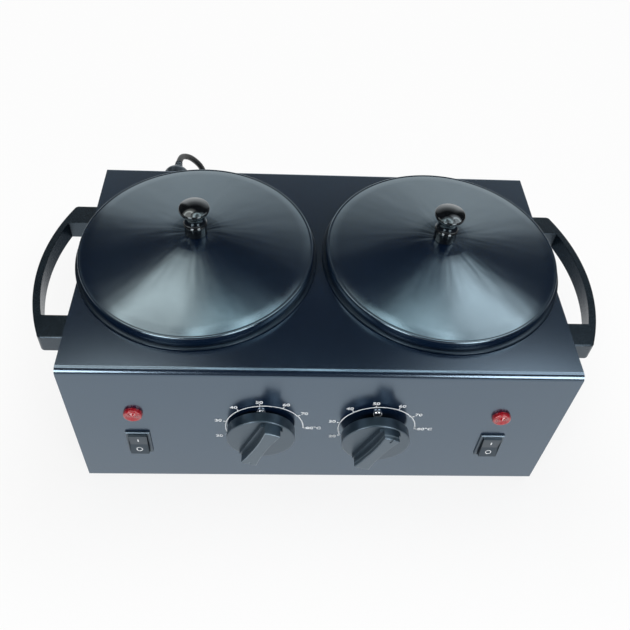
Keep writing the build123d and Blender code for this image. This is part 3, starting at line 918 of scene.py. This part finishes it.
switchSizes = dict(width=0.0152, radius=0.0139, crease=0.0056, flare=0.0066, half=0.0126, root=-0.006,
                   edge=0.0005, tilt=-4, pivot=0.002, steps=12, inkRise=0.00014)
barSizes = dict(half=0.0005, tall=0.0018)
ringSizes = dict(inner=0.0019, outer=0.0026)
lampSizes = dict(radius=0.0078, reach=0.0039, shank=0.0058, root=-0.0075, facets=24, rings=3)


def makeRocker(side):
    body = side + "_switch"
    low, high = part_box(side + "_rocker")
    middleX = (low.x + high.x) / 2
    bodyLow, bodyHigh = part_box(side + "_switch_body")
    middleZ = (bodyLow.z + bodyHigh.z) / 2
    # local X outwards, local Y up, about the pivot just behind the front
    radius = switchSizes["radius"]
    flare = switchSizes["flare"]
    edgeY = math.sqrt(radius**2 - flare**2)
    rootY = math.sqrt(radius**2 - switchSizes["root"] ** 2)
    upper = math.atan2(edgeY, flare)
    lower = math.atan2(rootY, switchSizes["root"])
    steps = switchSizes["steps"]
    end = [(radius * math.cos(a), radius * math.sin(a))
           for a in [upper + (lower - upper) * step / steps for step in range(steps + 1)]]
    half = switchSizes["half"]
    crease = switchSizes["crease"]
    front = [(flare, -half), (crease + 0.0002, -0.0012), (crease, 0), (crease + 0.0002, 0.0012),
             (flare, half)]
    outline = [(x, -y) for x, y in reversed(end)] + front + end
    tilt = Matrix.Rotation(math.radians(switchSizes["tilt"]), 4, "X")
    place = Matrix.Translation((middleX, frontY + switchSizes["pivot"], middleZ)) @ tilt
    turn = Matrix(((0, 0, 1, 0), (-1, 0, 0, 0), (0, 1, 0, 0), (0, 0, 0, 1)))
    mesh = bmesh.new()
    wide = switchSizes["width"] / 2
    prismInto(mesh, outline, -wide, wide, place @ turn)
    rocker = fromMesh(side + "_paddle", mesh, 30)
    soften(rocker, switchSizes["edge"], 3, 40)
    dress(rocker, rockerPlastic, body)
    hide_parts(side + "_rocker")
    # on and off marks: a bar on the upper half, a ring on the lower half
    lean = math.atan2(flare - crease, half)
    out = crease + (flare - crease) * 0.5
    rise = switchSizes["inkRise"]
    for name, height, slant in (("on_bar", half * 0.5, 1), ("off_ring", -half * 0.5, -1)):
        spot = place @ Matrix.Translation((0, -out, height)) @ Matrix.Rotation(slant * lean, 4, "X")
        spot = spot @ Matrix.Rotation(math.radians(90), 4, "X") @ Matrix.Translation((0, 0, -0.00004))
        mark = bmesh.new()
        if slant > 0:
            aside, tall = barSizes["half"], barSizes["tall"]
            bar = [(-aside, -tall), (aside, -tall), (aside, tall), (-aside, tall)]
            prismInto(mark, bar, 0, rise, spot)
        else:
            inner, outer = ringSizes["inner"], ringSizes["outer"]
            turnInto(mark, [(inner, 0), (outer, 0), (outer, rise), (inner, rise)], spot, 40)
        dress(fromMesh(side + "_" + name, mark), ink, body)


def makeLamp(side):
    low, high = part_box(side + "_lamp_lens")
    place = facing((low.x + high.x) / 2, frontY, (low.z + high.z) / 2)
    radius = lampSizes["radius"]
    reach = lampSizes["reach"]
    shank = lampSizes["shank"]
    root = lampSizes["root"]
    outline = [(0, root), (shank, root), (shank, 0), (radius - 0.0001, 0.0), (radius, 0.0004),
               (radius - 0.0002, reach - 0.0018)]
    outline += arc((radius - 0.0002, reach - 0.0018), (radius - 0.0007, reach - 0.0006),
                   (radius - 0.002, reach - 0.0002), 6)
    # shallow rings pressed into the lens face
    for ring in range(lampSizes["rings"]):
        outer = radius - 0.0026 - ring * 0.0017
        outline += [(outer, reach - 0.0003), (outer - 0.0005, reach - 0.0006),
                    (outer - 0.001, reach - 0.0001)]
    outline += [(0, reach)]

    def facets(angle, radius, height):
        onSide = height > 0.0006 and radius > 0.006
        return -0.00016 * max(0, math.cos(angle * lampSizes["facets"])) if onSide else 0

    lens = turned(side + "_ribbed_lens", outline, place, 144, facets)
    dress(lens, lensRed, "root")
    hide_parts(side + "_lamp_lens")


screwSizes = dict(head=0.00375, shank=0.0019, proud=0.0024, pitch=0.047, slotHalf=0.0022, slotWidth=0.0005,
                  slotDeep=0.0012)


def makeDialScrews():
    # pan heads with a cross recess above and below each shaft
    mesh = bmesh.new()
    head = screwSizes["head"]
    shank = screwSizes["shank"]
    proud = screwSizes["proud"]
    deep = screwSizes["slotDeep"]
    for side, sign in sides:
        low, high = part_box(side + "_dial_knob")
        for up in (-1, 1):
            height = (low.z + high.z) / 2 + up * screwSizes["pitch"] / 2
            place = facing((low.x + high.x) / 2, frontY, height)
            outline = [(0, -0.006), (shank, -0.006), (shank, 0), (head, 0), (head, proud * 0.45)]
            outline += arc((head, proud * 0.45), (head * 0.86, proud * 0.82), (head * 0.6, proud * 0.97), 6)
            outline += [(head * 0.45, proud)]
            # the cross recess: the middle sinks in four slots
            outline += [(0.0012, proud), (0.0009, proud - deep * 0.4), (0.0007, proud - deep),
                        (0, proud - deep)]
            turnInto(mesh, outline, place, 48)
            for quarter in range(2):
                angle = math.radians(45 + 90 * quarter)
                turn = place @ Matrix.Rotation(angle, 4, "Z")
                wide = screwSizes["slotWidth"] / 2
                long = screwSizes["slotHalf"]
                slot = [(-long, -wide), (long, -wide), (long, wide), (-long, wide)]
                prismInto(mesh, slot, proud - 0.0001, proud + 0.00004, turn)
    screws = fromMesh("dial_pan_screws", mesh)
    dress(screws, chrome, "root")
    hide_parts("thermostat_screws")


for side, sign in sides:
    makeScale(side)
    makeRocker(side)
    makeLamp(side)
makeDialScrews()
print("controls fitted")

# ---- feet ----


footSizes = dict(bore=0.0022, recess=0.005, recessDeep=0.0053, firstGroove=0.0032, groovePitch=0.0024)


def makeFeet():
    bore = footSizes["bore"]
    recess = footSizes["recess"]
    deep = footSizes["recessDeep"]
    for end in ("front", "back"):
        for side, sign in sides:
            name = f"{end}_{side}_foot"
            low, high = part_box(name)
            radius = (high.x - low.x) / 2
            tall = high.z
            outline = [(recess + 0.0002, 0.0), (radius - 0.0018, 0.0)]
            outline += arc((radius - 0.0018, 0.0), (radius - 0.0005, 0.0005), (radius, 0.0018), 5)
            for groove in range(2):
                height = footSizes["firstGroove"] + groove * footSizes["groovePitch"]
                outline += [(radius, height), (radius - 0.0005, height + 0.0005), (radius, height + 0.001)]
            outline += [(radius, tall - 0.0003), (radius - 0.0003, tall - 0.00005), (bore, tall - 0.00005),
                        (bore, deep), (recess, deep), (recess, 0.0003)]
            place = Matrix.Translation(((low.x + high.x) / 2, (low.y + high.y) / 2, 0))
            foot = turned(name + "_pad", outline, place, 72)
            dress(foot, footRubber, "root")
            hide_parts(name)


makeFeet()
print("feet fitted")

# ---- floor, world and lamps ----

lighting = dict(power=4.6, height=0.557, ringWidth=0.05, wallPower=1.12, wallFall=2.25, wallGain=2.67,
                sidesPower=0.1, dim=0.02, frontPower=6.0, frontSize=0.5,
                fronts=((-0.55, -0.9, 0.55), (0.55, -0.9, 0.55)))
table = dict(albedo=0.75, shown=0.97, shadowShare=0.13, shadowReach=0.17, mirrored=0.9, drop=-0.0001,
             corners=((-1.4, -0.75), (1.4, -0.75), (1.4, 1.6), (-1.4, 1.6)))
# place, radius of the ring and of the soft glow round it, share of the glow, colour
ringLamps = ((-0.245, -0.02, 0.12, 0.24, 0.42, tone(1.0, 0.97, 0.91)),
             (-0.04, -0.04, 0.08, 0.15, 0.37, tone(0.84, 0.98, 1.0)),
             (0.085, -0.035, 0.08, 0.17, 0.45, tone(0.84, 0.97, 1.0)),
             (0.305, -0.02, 0.125, 0.26, 0.52, tone(0.95, 0.98, 1.0)))


def makeWorld():
    world = bpy.data.worlds.new("studio")
    bpy.context.scene.world = world
    look = Look("studio", world)
    look.tree.nodes.clear()
    x, y, z = look.axes(look.add("ShaderNodeTexCoord")["Generated"])
    level = (x * x + y * y + 0.0001) ** 0.5
    sideways = x / level
    # pale wall behind that falls off with height, darker to the sides
    fall = (1 - z).atLeast(0.0) ** lighting["wallFall"] * lighting["wallGain"]
    wall = fall.atMost(lighting["wallPower"]) * z.under(0.62, 0.8)
    flanks = sideways.over(-0.56, -0.42) * sideways.under(0.5, 0.72)
    back = y.over(-0.1, 0.25)
    sidesGlow = z.under(0.0, 0.4) * lighting["sidesPower"]
    glow = wall * (flanks * 0.97 + 0.03) * back + sidesGlow + lighting["dim"]
    seen = look.add("ShaderNodeLightPath")
    white = look.add("ShaderNodeBackground", {}, {"Color": tone(1, 1, 1), "Strength": 1.0})[0]
    room = look.add("ShaderNodeBackground", {}, {"Color": tone(0.97, 0.99, 1.0), "Strength": glow})[0]
    both = look.add("ShaderNodeMixShader", {}, {0: seen["Is Camera Ray"], 1: room, 2: white})[0]
    look.add("ShaderNodeOutputWorld", {}, {0: both})


def makeFloor():
    mesh = bmesh.new()
    # a table top that ends a little way in front of the object
    mesh.faces.new([mesh.verts.new((x, y, table["drop"])) for x, y in table["corners"]])
    floor = fromMesh("floor", mesh)
    look = Look("floorWhite")
    cool = shade(tone(0.99, 1.0, 1.0), table["albedo"])
    plainWhite = shade(tone(1.0, 1.0, 1.0), table["albedo"])
    look.varies("Base Color", look.mix(look.noise(look.place(), 30, 3), cool, plainWhite))
    look.constants(Roughness=0.9, Specular_IOR_Level=0.1)
    seen = look.add("ShaderNodeLightPath")
    glow = look.add("ShaderNodeEmission", {}, {"Color": tone(1, 1, 1), "Strength": 1.0})[0]
    lit = Wire(look, look.shader.outputs[0])
    # close to the case more of the lit floor shows, so its shadow does too
    low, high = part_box("housing_wrap")
    middle = (low + high) / 2
    x, y = look.axes(look.shift(look.place(), (middle.x, middle.y, 0)))[:2]
    aside = (x.size() - (high.x - middle.x)).atLeast(0.0)
    beyond = (y.size() - (high.y - middle.y)).atLeast(0.0)
    near = ((aside * aside + beyond * beyond) ** 0.5).under(0.0, table["shadowReach"])
    plain = table["shown"] - near * table["shadowShare"]
    shown = seen["Is Camera Ray"] * plain + seen["Is Glossy Ray"] * table["mirrored"]
    both = look.add("ShaderNodeMixShader", {}, {0: shown, 1: lit, 2: glow})[0]
    look.plug(look.tree.nodes["Material Output"].inputs[0], both)
    floor.data.materials.append(look.owner)


def makeLamps():
    # four flat ring lamps overhead with a soft glow, left out of the picture itself
    for number, (x, y, radius, reach, share, colour) in enumerate(ringLamps):
        low = lighting["height"]
        high = low + 0.004
        outline = [(0, low), (reach, low), (reach, high), (0, high)]
        ring = turned(f"ring_lamp_{number + 1}", outline, Matrix.Translation((x, y, 0)), 96)
        look = Look(f"ringLight{number + 1}")
        look.tree.nodes.clear()
        offX, offY = look.axes(look.shift(look.place(), (x, y, 0)))[:2]
        far = (offX * offX + offY * offY) ** 0.5
        band = (far - radius).size().under(lighting["ringWidth"] * 0.3, lighting["ringWidth"] * 0.5)
        bright = band.atLeast(far.under(reach * 0.45, reach) * share)
        tint = look.mix(bright, tone(0, 0, 0), colour)
        glow = look.add("ShaderNodeEmission", {}, {"Color": tint, "Strength": lighting["power"]})[0]
        look.add("ShaderNodeOutputMaterial", {}, {0: glow})
        ring.data.materials.append(look.owner)
        ring.visible_camera = False
    for number, spot in enumerate(lighting["fronts"]):
        data = bpy.data.lights.new(f"front_lamp_{number + 1}", "AREA")
        data.shape = "DISK"
        data.size = lighting["frontSize"]
        data.energy = lighting["frontPower"]
        lamp = bpy.data.objects.new(f"front_lamp_{number + 1}", data)
        lamp.location = spot
        lamp.rotation_mode = "QUATERNION"
        lamp.rotation_quaternion = (Vector((0, 0, 0.08)) - Vector(spot)).to_track_quat("-Z", "Y")
        bpy.context.scene.collection.objects.link(lamp)


makeWorld()
makeFloor()
makeLamps()
print("studio lit")

print("pieces ready")
